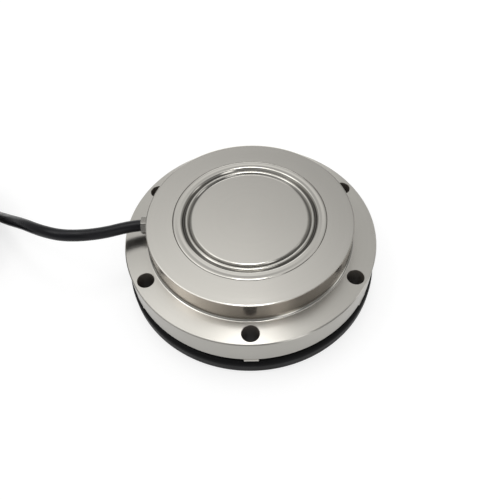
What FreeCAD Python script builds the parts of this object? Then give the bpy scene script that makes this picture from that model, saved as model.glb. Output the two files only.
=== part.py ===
import FreeCAD, Part
import math
import os

# A plate load cell: a flanged spring body with a welded diaphragm, a rubber base ring and a signal cable.
# Millimetres. The origin is the centre of the footprint, +Z is the load axis, the cable leaves along -X.

Vec = FreeCAD.Vector
X_AXIS = Vec(1, 0, 0)
Z_AXIS = Vec(0, 0, 1)
FULL_TURN = 360.0
HEX_SIDES = 6
SAME_POINT = 1e-6
TUBE_VOLUME_TOLERANCE = 0.01

# Spring body, outside
FLANGE_D = 130.0
FLANGE_T = 15.0
FLANGE_LEDGE = 12.8
FLANGE_CHAMFER = 0.5
HUB_H = 12.5
HUB_WALL = 13.6
HUB_EDGE_R = 0.5
HUB_FILLET = 1.0
FOOT_H = 12.0
FOOT_INSET = 1.7
FOOT_RIM = 3.0
FOOT_CHAMFER = 0.4
PAD_DROP = 0.6
PAD_EDGE_R = 0.9

# Bolt holes in the flange
BOLT_COUNT = 6
BOLT_FIRST_DEG = 30.0
BOLT_HOLE_D = 8.4
BOLT_FROM_HUB = 6.8
BOLT_CHAMFER = 0.3

# Sensing web and the spaces above and below it
TRENCH_DEPTH = 11.5
TRENCH_FILLET = 1.5
WEB_T = 8.0
WEB_FILLET = 1.5
POST_R = 10.0
POST_GAP = 0.3

# Corrugated diaphragm, from the pad outwards: valley, slope, crest, slope, valley, outer slope, land, rim
DIAPHRAGM_T = 0.5
VALLEY_W = 0.7
SLOPE_W = 0.7
CREST_W = 1.0
OUTER_SLOPE_W = 1.0
LAND_W = 1.3
RIM_SLOPE_W = 0.6
RIM_W = 2.0
RIM_RISE = 0.1
WAVE_DEPTH = 1.5
CREST_DROP = 0.65
WAVE_BEND_SHARE = 0.48
SEAM_V = 0.2
SEAT_W = 1.9

# Base ring and the spacer bushes in its bolt holes
BASE_RING_OVERHANG = 1.3
BASE_RING_T = 9.0
BASE_RING_GAP = 0.5
BASE_RING_EDGE_R = 2.5
BASE_RING_INNER_R = 0.6
BUSH_HEX_WALL = 1.8
BUSH_HEX_H = 1.8
BUSH_SLEEVE_WALL = 0.7

# Bottom cover, its seal and its screws
COVER_T = 3.0
COVER_RECESS = 1.0
COVER_GAP = 0.15
SEAL_FROM_SCREWS = 3.8
SEAL_FROM_LEDGE = 1.9
SEAL_GROOVE_W = 1.8
SEAL_GROOVE_DEPTH = 1.1
SEAL_SIDE_GAP = 0.1
SEAL_CHAMFER = 0.3
COVER_SCREW_COUNT = 6
COVER_SCREW_D = 2.5
COVER_SCREW_HEAD_D = 4.7
COVER_SCREW_LENGTH = 9.0
COVER_SCREW_INSET = 2.8
COVER_SCREW_HOLE_GAP = 0.2
COVER_SCREW_SOCKET_AF = 1.5
COVER_SCREW_SOCKET_DEPTH = 0.9

# Bridge board and what is on it
BOARD_T = 1.6
BOARD_TOP_Z = 10.0
BOARD_LEDGE_W = 4.0
BOARD_EDGE_GAP = 0.3
BOARD_BORE_GAP = 2.0
BOARD_SCREW_COUNT = 4
BOARD_SCREW_D = 2.0
BOARD_SCREW_HEAD_D = 3.6
BOARD_SCREW_HEAD_H = 1.3
BOARD_SCREW_DEPTH = 4.0
BOARD_SCREW_INSET = 2.1
BOARD_HOLE_GAP = 0.1
RESISTOR_COUNT = 4
RESISTOR_L = 5.0
RESISTOR_W = 2.2
RESISTOR_H = 1.2
RESISTOR_EDGE_R = 0.3
RESISTOR_FROM_POST = 12.0

# Strain gauges under the web and their leads
GAUGES_EACH = 4
GAUGE_L = 4.0
GAUGE_W = 2.2
GAUGE_T = 0.1
GAUGE_MARGIN = 0.3
LEAD_D = 0.5
LEAD_SPACING = 1.6

# Cable gland in the hub's side
GLAND_SHOULDER = 0.45
GLAND_HEX_L = 3.3
GLAND_HEX_EDGE = 0.4
GLAND_WALL = 0.7
GLAND_THREAD_L = 3.6
GLAND_DROP = 6.0
SPOT_FACE_MARGIN = 0.35
SPOT_FACE_DEPTH = 0.3
WASHER_T = 0.8
WASHER_GAP = 0.1
GROMMET_L = 3.0
POTTING_L = 2.0
CABLE_GAP = 0.1

# Cable, its cores and the duct that takes them down to the board
CABLE_D = 6.0
CORE_D = 1.0
CORE_OFFSET = 0.75
DUCT_D = 4.6
DUCT_RUN = 1.4
DUCT_LEAN = 4.6
DUCT_OVERSHOOT = 1.5
CORE_BEND_R = 1.6

# Cable route after the gland, each point as distance out from the hub's wall, distance sideways and height
CABLE_BEND_SHARE = 0.45
CABLE_FIRST_RUN = 17.1
CABLE_LIFT = 0.3
CABLE_FLOOR_Z = CABLE_D / 2 + CABLE_LIFT
CABLE_ROUTE = [
    (23.3, -7.5, 36.0),
    (37.7, -11.2, 39.6),
    (50.9, -7.9, 39.8),
    (64.0, 0.1, 35.7),
    (76.1, 9.5, 27.9),
    (87.3, 19.5, 18.5),
    (97.8, 29.5, 8.6),
    (108.3, 38.5, CABLE_FLOOR_Z),
    (119.3, 46.0, CABLE_FLOOR_Z),
]

# Coil of the put-away length, with its ties
COIL_FROM_HUB = 142.8
COIL_Y = 11.0
COIL_INNER_R = 26.8
COIL_BOTTOM_Z = 1.1
COIL_COLUMNS = 3
COIL_LAYERS = 4
COIL_SLACK = 0.4
COIL_EDGE_R = 2.6
TIE_ANGLES = (190.0, 295.0)
TIE_TURN = 12.0
TIE_T = 1.0

# Tail that comes down the coil's side, from the coil's centre, to where the end sleeve lies on the floor
SLEEVE_WALL = 0.6
SLEEVE_LIFT = 0.2
SLEEVE_D = CABLE_D + 2 * SLEEVE_WALL
SLEEVE_FLOOR_Z = SLEEVE_D / 2 + SLEEVE_LIFT
TAIL_ROUTE = [
    (-2.0, 42.0, 22.4),
    (-22.0, 43.5, 21.6),
    (-42.0, 34.0, 15.0),
    (-53.0, 15.0, 7.0),
    (-55.5, -6.0, SLEEVE_FLOOR_Z),
    (-50.0, -26.0, SLEEVE_FLOOR_Z),
]

# Cable end: sleeve, stripped cores, tinned tips and drain wire
SLEEVE_OVERLAP = 8.0
SLEEVE_NOSE = 6.0
TAIL_CORE_D = 1.3
TAIL_CORE_OFFSET = 1.2
TAIL_CORE_RUNS = (7.0, 9.0, 9.0)
TAIL_CORE_BEND_R = 6.0
TAIL_FAN_DEG = (-24.0, -9.0, 9.0, 24.0)
TAIL_FLOOR_Z = 0.8
TIP_D = 0.9
TIP_L = 5.0
DRAIN_D = 1.0

# Levels
FLANGE_Z = FOOT_H
HUB_Z = FLANGE_Z + FLANGE_T
TOP_Z = HUB_Z + HUB_H
PAD_Z = TOP_Z - PAD_DROP
SEAT_Z = TOP_Z + RIM_RISE - DIAPHRAGM_T
WEB_TOP_Z = TOP_Z - TRENCH_DEPTH
WEB_Z = WEB_TOP_Z - WEB_T
COVER_TOP_Z = COVER_RECESS + COVER_T
BOARD_Z = BOARD_TOP_Z - BOARD_T
GLAND_Z = TOP_Z - GLAND_DROP

# Radii, from the flange inwards
FLANGE_R = FLANGE_D / 2
HUB_R = FLANGE_R - FLANGE_LEDGE
SEAM_R = HUB_R - HUB_WALL
WAVE_W = 2 * VALLEY_W + 2 * SLOPE_W + CREST_W + OUTER_SLOPE_W
PAD_R = SEAM_R - (WAVE_W + LAND_W + RIM_SLOPE_W + RIM_W)
TRENCH_R = SEAM_R - SEAT_W
FOOT_R = HUB_R - FOOT_INSET
COVER_R = FOOT_R - FOOT_RIM
BOLT_R = HUB_R + BOLT_FROM_HUB
BASE_RING_R = FLANGE_R + BASE_RING_OVERHANG
COVER_SCREW_R = COVER_R - COVER_SCREW_INSET
SEAL_R = COVER_SCREW_R - SEAL_FROM_SCREWS
LEDGE_R = SEAL_R - SEAL_FROM_LEDGE
CAVITY_R = LEDGE_R - BOARD_LEDGE_W
BOARD_R = LEDGE_R - BOARD_EDGE_GAP
BOARD_SCREW_R = LEDGE_R - BOARD_SCREW_INSET

# Sizes that follow from another piece
WAVE_TURN = math.atan2(WAVE_DEPTH, OUTER_SLOPE_W)
WAVE_R = WAVE_BEND_SHARE * VALLEY_W / math.tan(WAVE_TURN / 2)
BUSH_AF = BOLT_HOLE_D + 2 * BUSH_HEX_WALL
BUSH_SLEEVE_D = BOLT_HOLE_D + 2 * BUSH_SLEEVE_WALL
CABLE_BORE_D = CABLE_D + 2 * CABLE_GAP
GLAND_THREAD_D = CABLE_BORE_D + 2 * GLAND_WALL
GLAND_AF = GLAND_THREAD_D + 2 * GLAND_SHOULDER
GLAND_CORNER_R = GLAND_AF / math.sqrt(3)
SPOT_FACE_D = 2 * (GLAND_CORNER_R + SPOT_FACE_MARGIN)
COIL_X = -(HUB_R + COIL_FROM_HUB)
COIL_OUTER_R = COIL_INNER_R + COIL_COLUMNS * CABLE_D + COIL_SLACK
COIL_TOP_Z = COIL_BOTTOM_Z + COIL_LAYERS * CABLE_D + COIL_SLACK

# Gland stations along -X, from the outside inwards, as distances from the axis
SPOT_FACE_R = HUB_R - SPOT_FACE_DEPTH
THREAD_END_R = SPOT_FACE_R - GLAND_THREAD_L
WASHER_END_R = THREAD_END_R - WASHER_T
CABLE_END_R = WASHER_END_R - GROMMET_L
BORE_END_R = CABLE_END_R - POTTING_L
DUCT_TOP_R = BORE_END_R - DUCT_RUN
DUCT_FOOT_R = DUCT_TOP_R - DUCT_LEAN


def corner_arc(before, corner, after, radius):
    """Start, middle and end of the arc that rounds a corner."""
    back = (before - corner).normalize()
    ahead = (after - corner).normalize()
    half = back.getAngle(ahead) / 2
    setback = radius / math.tan(half)
    middle = corner + (back + ahead).normalize() * (radius / math.sin(half) - radius)
    return corner + back * setback, middle, corner + ahead * setback


def rounded_wire(points, radii, closed):
    """Wire through the points, with each corner rounded by its radius where that isn't zero."""
    count = len(points)
    stops = []
    for index, (point, radius) in enumerate(zip(points, radii)):
        if radius:
            before = points[index - 1]
            after = points[(index + 1) % count]
            stops.append(corner_arc(before, point, after, radius))
        else:
            stops.append((point, None, point))
    edges = []
    for index, (start, middle, end) in enumerate(stops):
        if middle:
            edges.append(Part.Arc(start, middle, end).toShape())
        if closed or index < count - 1:
            following = stops[(index + 1) % count][0]
            if (following - end).Length > SAME_POINT:
                edges.append(Part.LineSegment(end, following).toShape())
    return Part.Wire(edges)


def turned(outline):
    """Solid of revolution about Z from (radius, height) or (radius, height, corner radius) points."""
    points = [Vec(corner[0], 0, corner[1]) for corner in outline]
    radii = [corner[2] if len(corner) > 2 else 0 for corner in outline]
    face = Part.Face(rounded_wire(points, radii, True))
    return face.revolve(Vec(), Z_AXIS, FULL_TURN)


def rod(diameter, start, end):
    """Cylinder between two points."""
    along = end - start
    return Part.makeCylinder(diameter / 2, along.Length, start, along)


def outward(distance, height):
    """Point on the gland's side of the body."""
    return Vec(-distance, 0, height)


def around(shape, count, first_deg=0.0):
    """Copies of a shape, evenly spaced about Z."""
    copies = []
    for index in range(count):
        copy = shape.copy()
        copy.rotate(Vec(), Z_AXIS, first_deg + index * FULL_TURN / count)
        copies.append(copy)
    return copies


def tube(diameter, points, radii):
    """Round solid along straight runs joined by tangent arcs."""
    path = rounded_wire(points, radii, False)
    section = Part.Wire(Part.makeCircle(diameter / 2, points[0], points[1] - points[0]))
    solid = path.makePipeShell([section], True, False)
    expected = path.Length * math.pi * diameter ** 2 / 4
    if abs(solid.Volume / expected - 1) > TUBE_VOLUME_TOLERANCE:
        raise ValueError("a tube's volume differs from its section times its length")
    return solid


def cord_radii(points):
    """Arc radius at each inner point of a cord's route, as large as its two runs allow."""
    radii = [0.0]
    for before, corner, after in zip(points, points[1:], points[2:]):
        turn = (corner - before).getAngle(after - corner)
        shorter = min((corner - before).Length, (after - corner).Length)
        radii.append(CABLE_BEND_SHARE * shorter / math.tan(turn / 2))
    return radii + [0.0]


def offset_line(points, distance):
    """Line of (x, height) points moved sideways, to the right of its direction."""
    moved = []
    for index, point in enumerate(points):
        before = points[max(index - 1, 0)]
        after = points[min(index + 1, len(points) - 1)]
        into = (point - before if index else after - point).normalize()
        out = (after - point if index < len(points) - 1 else into).normalize()
        side_in = Vec(into.z, 0, -into.x)
        side_out = Vec(out.z, 0, -out.x)
        mitre = (side_in + side_out).normalize()
        moved.append(point + mitre * (distance / mitre.dot(side_in)))
    return moved


def spring_body():
    """Flange, hub, load pad, sensing web and foot, turned in one piece and then drilled."""
    cover_bore_r = COVER_R + COVER_GAP
    groove_in = SEAL_R - SEAL_GROOVE_W / 2
    groove_out = SEAL_R + SEAL_GROOVE_W / 2
    groove_z = COVER_TOP_Z + SEAL_GROOVE_DEPTH
    solid = turned([
        (0, COVER_TOP_Z + POST_GAP),
        (POST_R, COVER_TOP_Z + POST_GAP),
        (POST_R, WEB_Z, WEB_FILLET),
        (CAVITY_R, WEB_Z, WEB_FILLET),
        (CAVITY_R, BOARD_TOP_Z),
        (LEDGE_R, BOARD_TOP_Z),
        (LEDGE_R, COVER_TOP_Z),
        (groove_in, COVER_TOP_Z),
        (groove_in, groove_z),
        (groove_out, groove_z),
        (groove_out, COVER_TOP_Z),
        (cover_bore_r, COVER_TOP_Z),
        (cover_bore_r, 0),
        (FOOT_R - FOOT_CHAMFER, 0),
        (FOOT_R, FOOT_CHAMFER),
        (FOOT_R, FLANGE_Z),
        (FLANGE_R - FLANGE_CHAMFER, FLANGE_Z),
        (FLANGE_R, FLANGE_Z + FLANGE_CHAMFER),
        (FLANGE_R, HUB_Z - FLANGE_CHAMFER),
        (FLANGE_R - FLANGE_CHAMFER, HUB_Z),
        (HUB_R, HUB_Z, HUB_FILLET),
        (HUB_R, TOP_Z, HUB_EDGE_R),
        (SEAM_R + SEAM_V, TOP_Z),
        (SEAM_R, TOP_Z - SEAM_V),
        (SEAM_R, SEAT_Z),
        (TRENCH_R, SEAT_Z),
        (TRENCH_R, WEB_TOP_Z, TRENCH_FILLET),
        (PAD_R, WEB_TOP_Z, TRENCH_FILLET),
        (PAD_R, PAD_Z, PAD_EDGE_R),
        (0, PAD_Z),
    ])
    return solid.cut(bolt_drills() + gland_drills() + screw_drills())


def bolt_drills():
    """Bolt holes of the flange, each with a small chamfer at its top."""
    hole_r = BOLT_HOLE_D / 2
    centre = Vec(BOLT_R, 0, 0)
    drill = Part.makeCylinder(hole_r, HUB_Z, centre)
    mouth = Part.makeCone(
        hole_r, hole_r + BOLT_CHAMFER, BOLT_CHAMFER, centre + Vec(0, 0, HUB_Z - BOLT_CHAMFER)
    )
    return around(drill.fuse(mouth), BOLT_COUNT, BOLT_FIRST_DEG)


def gland_drills():
    """Gland bore with its spot face, and the leaning duct from it down to the board."""
    beyond = outward(FLANGE_R, GLAND_Z)
    elbow = outward(DUCT_TOP_R, GLAND_Z)
    duct_foot = outward(DUCT_FOOT_R, BOARD_TOP_Z)
    overshoot = (duct_foot - elbow).normalize() * DUCT_OVERSHOOT
    return [
        rod(SPOT_FACE_D, outward(SPOT_FACE_R, GLAND_Z), beyond),
        rod(GLAND_THREAD_D, outward(BORE_END_R, GLAND_Z), beyond),
        rod(DUCT_D, outward(DUCT_TOP_R - DUCT_D / 2, GLAND_Z), beyond),
        rod(DUCT_D, elbow, duct_foot + overshoot),
    ]


def screw_drills():
    """Tapped holes for the cover's screws and for the board's screws."""
    cover_hole = rod(
        COVER_SCREW_D,
        Vec(COVER_SCREW_R, 0, COVER_TOP_Z),
        Vec(COVER_SCREW_R, 0, COVER_RECESS + COVER_SCREW_LENGTH),
    )
    board_hole = rod(
        BOARD_SCREW_D,
        Vec(BOARD_SCREW_R, 0, BOARD_TOP_Z),
        Vec(BOARD_SCREW_R, 0, BOARD_TOP_Z + BOARD_SCREW_DEPTH),
    )
    return (
        around(cover_hole, COVER_SCREW_COUNT)
        + around(board_hole, BOARD_SCREW_COUNT, FULL_TURN / BOARD_SCREW_COUNT / 2)
    )


def top_diaphragm():
    """Thin corrugated ring between the pad and the welded seam."""
    corners = [
        (0, WAVE_DEPTH, 0),
        (VALLEY_W, WAVE_DEPTH, 1),
        (SLOPE_W, CREST_DROP, -1),
        (CREST_W, CREST_DROP, -1),
        (SLOPE_W, WAVE_DEPTH, 1),
        (VALLEY_W, WAVE_DEPTH, 1),
        (OUTER_SLOPE_W, 0, -1),
        (LAND_W, 0, 1),
        (RIM_SLOPE_W, -RIM_RISE, -1),
        (RIM_W, -RIM_RISE, 0),
    ]
    upper = []
    radius = PAD_R
    for width, drop, bend in corners:
        radius += width
        upper.append(Vec(radius, 0, TOP_Z - drop))
    lower = offset_line(upper, DIAPHRAGM_T)
    bends = [corner[2] for corner in corners]
    upper_radii = [WAVE_R * abs(bend) for bend in bends]
    lower_radii = [WAVE_R * abs(bend) + DIAPHRAGM_T * bend for bend in bends]
    edge = SEAM_V + RIM_RISE
    seam_edge = [upper[-1] - Vec(edge, 0, 0), upper[-1] - Vec(0, 0, edge)]
    points = upper[:-1] + seam_edge + lower[::-1]
    radii = upper_radii[:-1] + [0, 0] + lower_radii[::-1]
    face = Part.Face(rounded_wire(points, radii, True))
    return face.revolve(Vec(), Z_AXIS, FULL_TURN)


def base_ring():
    """Rubber ring under the flange, with a hole for each spacer bush."""
    inner = FOOT_R + BASE_RING_GAP
    ring = turned([
        (inner, 0, BASE_RING_INNER_R),
        (BASE_RING_R, 0, BASE_RING_EDGE_R),
        (BASE_RING_R, BASE_RING_T, BASE_RING_EDGE_R),
        (inner, BASE_RING_T, BASE_RING_INNER_R),
    ])
    hole = Part.makeCylinder(BUSH_SLEEVE_D / 2, BASE_RING_T, Vec(BOLT_R, 0, 0))
    return ring.cut(around(hole, BOLT_COUNT, BOLT_FIRST_DEG))


def spacer_bushes():
    """Hex-headed steel bushes that stand in the base ring and carry the flange at each bolt."""
    centre = Vec(BOLT_R, 0, 0)
    head_z = FLANGE_Z - BUSH_HEX_H
    head = hexagon(BUSH_AF, BUSH_HEX_H, centre + Vec(0, 0, head_z), Z_AXIS)
    head.rotate(centre, Z_AXIS, FULL_TURN / HEX_SIDES / 2)
    sleeve = Part.makeCylinder(BUSH_SLEEVE_D / 2, head_z, centre)
    bore = Part.makeCylinder(BOLT_HOLE_D / 2, FLANGE_Z, centre)
    return Part.makeCompound(around(head.fuse(sleeve).cut(bore), BOLT_COUNT, BOLT_FIRST_DEG))


def bottom_cover():
    """Disc that closes the foot, countersunk for its screws."""
    disc = Part.makeCylinder(COVER_R, COVER_T, Vec(0, 0, COVER_RECESS))
    centre = Vec(COVER_SCREW_R, 0, COVER_RECESS)
    hole_r = COVER_SCREW_D / 2 + COVER_SCREW_HOLE_GAP
    sink_r = COVER_SCREW_HEAD_D / 2 + COVER_SCREW_HOLE_GAP
    hole = Part.makeCylinder(hole_r, COVER_T, centre)
    sink = Part.makeCone(sink_r, hole_r, sink_r - hole_r, centre)
    return disc.cut(around(hole.fuse(sink), COVER_SCREW_COUNT))


def cover_seal():
    """Seal ring, pressed to its groove's depth by the cover."""
    inner = SEAL_R - SEAL_GROOVE_W / 2 + SEAL_SIDE_GAP
    outer = SEAL_R + SEAL_GROOVE_W / 2 - SEAL_SIDE_GAP
    bottom = COVER_TOP_Z
    top = bottom + SEAL_GROOVE_DEPTH
    return turned([
        (inner + SEAL_CHAMFER, bottom),
        (outer - SEAL_CHAMFER, bottom),
        (outer, bottom + SEAL_CHAMFER),
        (outer, top - SEAL_CHAMFER),
        (outer - SEAL_CHAMFER, top),
        (inner + SEAL_CHAMFER, top),
        (inner, top - SEAL_CHAMFER),
        (inner, bottom + SEAL_CHAMFER),
    ])


def hexagon(across_flats, length, start, axis):
    """Hexagonal prism with a flat up, or a corner at +X where it stands upright."""
    corner_r = across_flats / math.sqrt(3)
    lead = X_AXIS if axis.isEqual(Z_AXIS, SAME_POINT) else Z_AXIS.cross(axis)
    side = axis.cross(lead)
    corners = []
    for index in range(HEX_SIDES):
        angle = math.radians(index * FULL_TURN / HEX_SIDES)
        corners.append(start + lead * (corner_r * math.cos(angle)) + side * (corner_r * math.sin(angle)))
    return Part.Face(Part.makePolygon(corners + corners[:1])).extrude(axis * length)


def cover_screws():
    """Countersunk socket screws of the bottom cover."""
    centre = Vec(COVER_SCREW_R, 0, COVER_RECESS)
    head_h = (COVER_SCREW_HEAD_D - COVER_SCREW_D) / 2
    head = Part.makeCone(COVER_SCREW_HEAD_D / 2, COVER_SCREW_D / 2, head_h, centre)
    shank = Part.makeCylinder(COVER_SCREW_D / 2, COVER_SCREW_LENGTH - head_h, centre + Vec(0, 0, head_h))
    socket = hexagon(COVER_SCREW_SOCKET_AF, COVER_SCREW_SOCKET_DEPTH, centre, Z_AXIS)
    return Part.makeCompound(around(head.fuse(shank).cut(socket), COVER_SCREW_COUNT))


def bridge_board():
    """Ring-shaped board on the ledge under the web."""
    centre = Vec(0, 0, BOARD_Z)
    ring = Part.makeCylinder(BOARD_R, BOARD_T, centre)
    bore = Part.makeCylinder(POST_R + BOARD_BORE_GAP, BOARD_T, centre)
    hole_r = BOARD_SCREW_D / 2 + BOARD_HOLE_GAP
    hole = Part.makeCylinder(hole_r, BOARD_T, Vec(BOARD_SCREW_R, 0, BOARD_Z))
    first = FULL_TURN / BOARD_SCREW_COUNT / 2
    return ring.cut([bore] + around(hole, BOARD_SCREW_COUNT, first))


def board_screws():
    """Cylinder-head screws that hold the board up to its ledge."""
    foot = Vec(BOARD_SCREW_R, 0, BOARD_Z - BOARD_SCREW_HEAD_H)
    head = Part.makeCylinder(BOARD_SCREW_HEAD_D / 2, BOARD_SCREW_HEAD_H, foot)
    shank_l = BOARD_SCREW_HEAD_H + BOARD_T + BOARD_SCREW_DEPTH
    shank = Part.makeCylinder(BOARD_SCREW_D / 2, shank_l, foot)
    first = FULL_TURN / BOARD_SCREW_COUNT / 2
    return Part.makeCompound(around(head.fuse(shank), BOARD_SCREW_COUNT, first))


def trim_resistors():
    """Chip resistors on the board's lower face, between its screws."""
    start = Vec(POST_R + RESISTOR_FROM_POST, -RESISTOR_L / 2, BOARD_Z - RESISTOR_H)
    chip = Part.makeBox(RESISTOR_W, RESISTOR_L, RESISTOR_H, start)
    upright = [edge for edge in chip.Edges if edge.tangentAt(0).isEqual(Z_AXIS, SAME_POINT)]
    return Part.makeCompound(around(chip.makeFillet(RESISTOR_EDGE_R, upright), RESISTOR_COUNT))


def gauge_ring(distance, first_deg):
    """Foil gauges bonded under the web, a given distance from the axis."""
    start = Vec(distance - GAUGE_W / 2, -GAUGE_L / 2, WEB_Z - GAUGE_T)
    foil = Part.makeBox(GAUGE_W, GAUGE_L, GAUGE_T, start)
    return around(foil, GAUGES_EACH, first_deg)


def lead_ring(distance, first_deg):
    """Two leads from each gauge of a ring down to the board."""
    leads = []
    for side in (-1, 1):
        offset = side * LEAD_SPACING / 2
        lead = rod(LEAD_D, Vec(distance, offset, BOARD_TOP_Z), Vec(distance, offset, WEB_Z - GAUGE_T))
        leads += around(lead, GAUGES_EACH, first_deg)
    return leads


def gauge_pieces():
    """Inner and outer gauges, turned apart by half a step, and all their leads."""
    reach = GAUGE_W / 2 + GAUGE_MARGIN
    outer = CAVITY_R - WEB_FILLET - reach
    inner = outer - GAUGE_W
    half_step = FULL_TURN / GAUGES_EACH / 2
    return {
        "inner_gauges": Part.makeCompound(gauge_ring(inner, half_step)),
        "outer_gauges": Part.makeCompound(gauge_ring(outer, 0)),
        "gauge_leads": Part.makeCompound(lead_ring(inner, half_step) + lead_ring(outer, 0)),
    }


def gland_nut():
    """Hexagonal nut whose thread squeezes the grommet in the hub's bore."""
    face = outward(SPOT_FACE_R, GLAND_Z)
    outer = outward(SPOT_FACE_R + GLAND_HEX_L, GLAND_Z)
    hexagonal = hexagon(GLAND_AF, GLAND_HEX_L, face, -X_AXIS)
    cone_h = GLAND_CORNER_R + GLAND_HEX_L - GLAND_HEX_EDGE
    turned_edge = Part.makeCone(cone_h, 0, cone_h, face, -X_AXIS)
    thread = rod(GLAND_THREAD_D, outward(THREAD_END_R, GLAND_Z), face)
    bore = rod(CABLE_BORE_D, outward(THREAD_END_R, GLAND_Z), outer)
    return hexagonal.common(turned_edge).fuse(thread).cut(bore)


def gland_sleeve(outer_d, inner_d, start_r, end_r):
    """Plain sleeve in the gland's bore."""
    start = outward(start_r, GLAND_Z)
    end = outward(end_r, GLAND_Z)
    return rod(outer_d, start, end).cut(rod(inner_d, start, end))


def core_tubes():
    """Four cores from the cable's end through the duct to the board."""
    past = BOARD_TOP_Z - DUCT_D
    lean = DUCT_LEAN / (GLAND_Z - BOARD_TOP_Z)
    line = [
        outward(CABLE_END_R, GLAND_Z),
        outward(DUCT_TOP_R, GLAND_Z),
        outward(DUCT_FOOT_R - lean * DUCT_D, past),
    ]
    above_board = Part.makeCylinder(FLANGE_R, TOP_Z, Vec(0, 0, BOARD_TOP_Z))
    cores = []
    for rise in (-1, 1):
        path = offset_line(line, -rise * CORE_OFFSET)
        bend = CORE_BEND_R + rise * CORE_OFFSET
        for side in (-1, 1):
            shift = Vec(0, side * CORE_OFFSET, 0)
            core = tube(CORE_D, [point + shift for point in path], [0, bend, 0])
            cores.append(core.common(above_board).Solids[0])
    return cores


def cable_coil():
    """Outer shape of the coil."""
    ring = turned([
        (COIL_INNER_R, COIL_BOTTOM_Z, COIL_EDGE_R),
        (COIL_OUTER_R, COIL_BOTTOM_Z, COIL_EDGE_R),
        (COIL_OUTER_R, COIL_TOP_Z, COIL_EDGE_R),
        (COIL_INNER_R, COIL_TOP_Z, COIL_EDGE_R),
    ])
    ring.translate(Vec(COIL_X, COIL_Y, 0))
    return ring


def coil_section(margin):
    """Face of the coil's cross-section, grown by a margin."""
    low = COIL_BOTTOM_Z - margin
    high = COIL_TOP_Z + margin
    inner = COIL_INNER_R - margin
    outer = COIL_OUTER_R + margin
    points = [Vec(inner, 0, low), Vec(outer, 0, low), Vec(outer, 0, high), Vec(inner, 0, high)]
    return Part.Face(rounded_wire(points, [COIL_EDGE_R + margin] * 4, True))


def coil_ties():
    """Straps round the coil's section."""
    loop = coil_section(TIE_T).cut(coil_section(0)).Faces[0]
    ties = []
    for angle in TIE_ANGLES:
        tie = loop.revolve(Vec(), Z_AXIS, TIE_TURN)
        tie.rotate(Vec(), Z_AXIS, angle - TIE_TURN / 2)
        tie.translate(Vec(COIL_X, COIL_Y, 0))
        ties.append(tie)
    return Part.makeCompound(ties)


def signal_cable(coil):
    """Cable from the gland down to the floor and up to the coil's side."""
    points = [outward(CABLE_END_R, GLAND_Z), outward(CABLE_END_R + CABLE_FIRST_RUN, GLAND_Z)]
    points += [Vec(-HUB_R - out, sideways, height) for out, sideways, height in CABLE_ROUTE]
    radii = cord_radii(points)
    print("cable radii", [round(radius, 1) for radius in radii[1:-1]])
    return tube(CABLE_D, points, radii).cut(coil)


def tail_points():
    """Route of the tail, in the part's frame."""
    return [Vec(COIL_X, COIL_Y, 0) + Vec(*point) for point in TAIL_ROUTE]


def cable_tail(coil):
    """Tail from the top of the coil down its side to the floor."""
    points = tail_points()
    radii = cord_radii(points)
    print("tail radii", [round(radius, 1) for radius in radii[1:-1]])
    pieces = tube(CABLE_D, points, radii).cut(coil).Solids
    return max(pieces, key=lambda piece: piece.Volume)


def end_pieces():
    """Sleeve, fanned cores with their tips and the drain wire at the cable's end."""
    points = tail_points()
    end = points[-1]
    along = (end - points[-2]).normalize()
    side = Z_AXIS.cross(along)
    nose = end + along * SLEEVE_NOSE
    overlap = end - along * SLEEVE_OVERLAP
    pieces = {"end_sleeve": rod(SLEEVE_D, overlap, nose).cut(rod(CABLE_D, overlap, end))}
    names = ("tail_red", "tail_black", "tail_white", "tail_green")
    tips = []
    for name, fan in zip(names, TAIL_FAN_DEG):
        core, tip = fanned_core(nose, along, side, fan)
        pieces[name] = core
        tips.append(tip)
    pieces["tail_tips"] = Part.makeCompound(tips)
    route = fan_route(nose, along, along)
    pieces["drain_wire"] = tube(DRAIN_D, route, [0, TAIL_CORE_BEND_R, TAIL_CORE_BEND_R, 0])
    return pieces


def fan_route(start, along, spread):
    """Route of one stripped core: straight out, down to the floor, then along it."""
    straight, down, flat = TAIL_CORE_RUNS
    first = start + along * straight
    second = first + spread * down
    second.z = TAIL_FLOOR_Z
    return [start, first, second, second + spread * flat]


def fanned_core(nose, along, side, fan):
    """One stripped core and its tinned tip."""
    turn = math.radians(fan)
    spread = along * math.cos(turn) + side * math.sin(turn)
    lift = -TAIL_CORE_OFFSET if abs(fan) == max(TAIL_FAN_DEG) else TAIL_CORE_OFFSET
    offset = side * math.copysign(TAIL_CORE_OFFSET, fan) + Z_AXIS * lift
    route = fan_route(nose + offset, along, spread)
    core = tube(TAIL_CORE_D, route, [0, TAIL_CORE_BEND_R, TAIL_CORE_BEND_R, 0])
    return core, rod(TIP_D, route[-1], route[-1] + spread * TIP_L)


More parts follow.
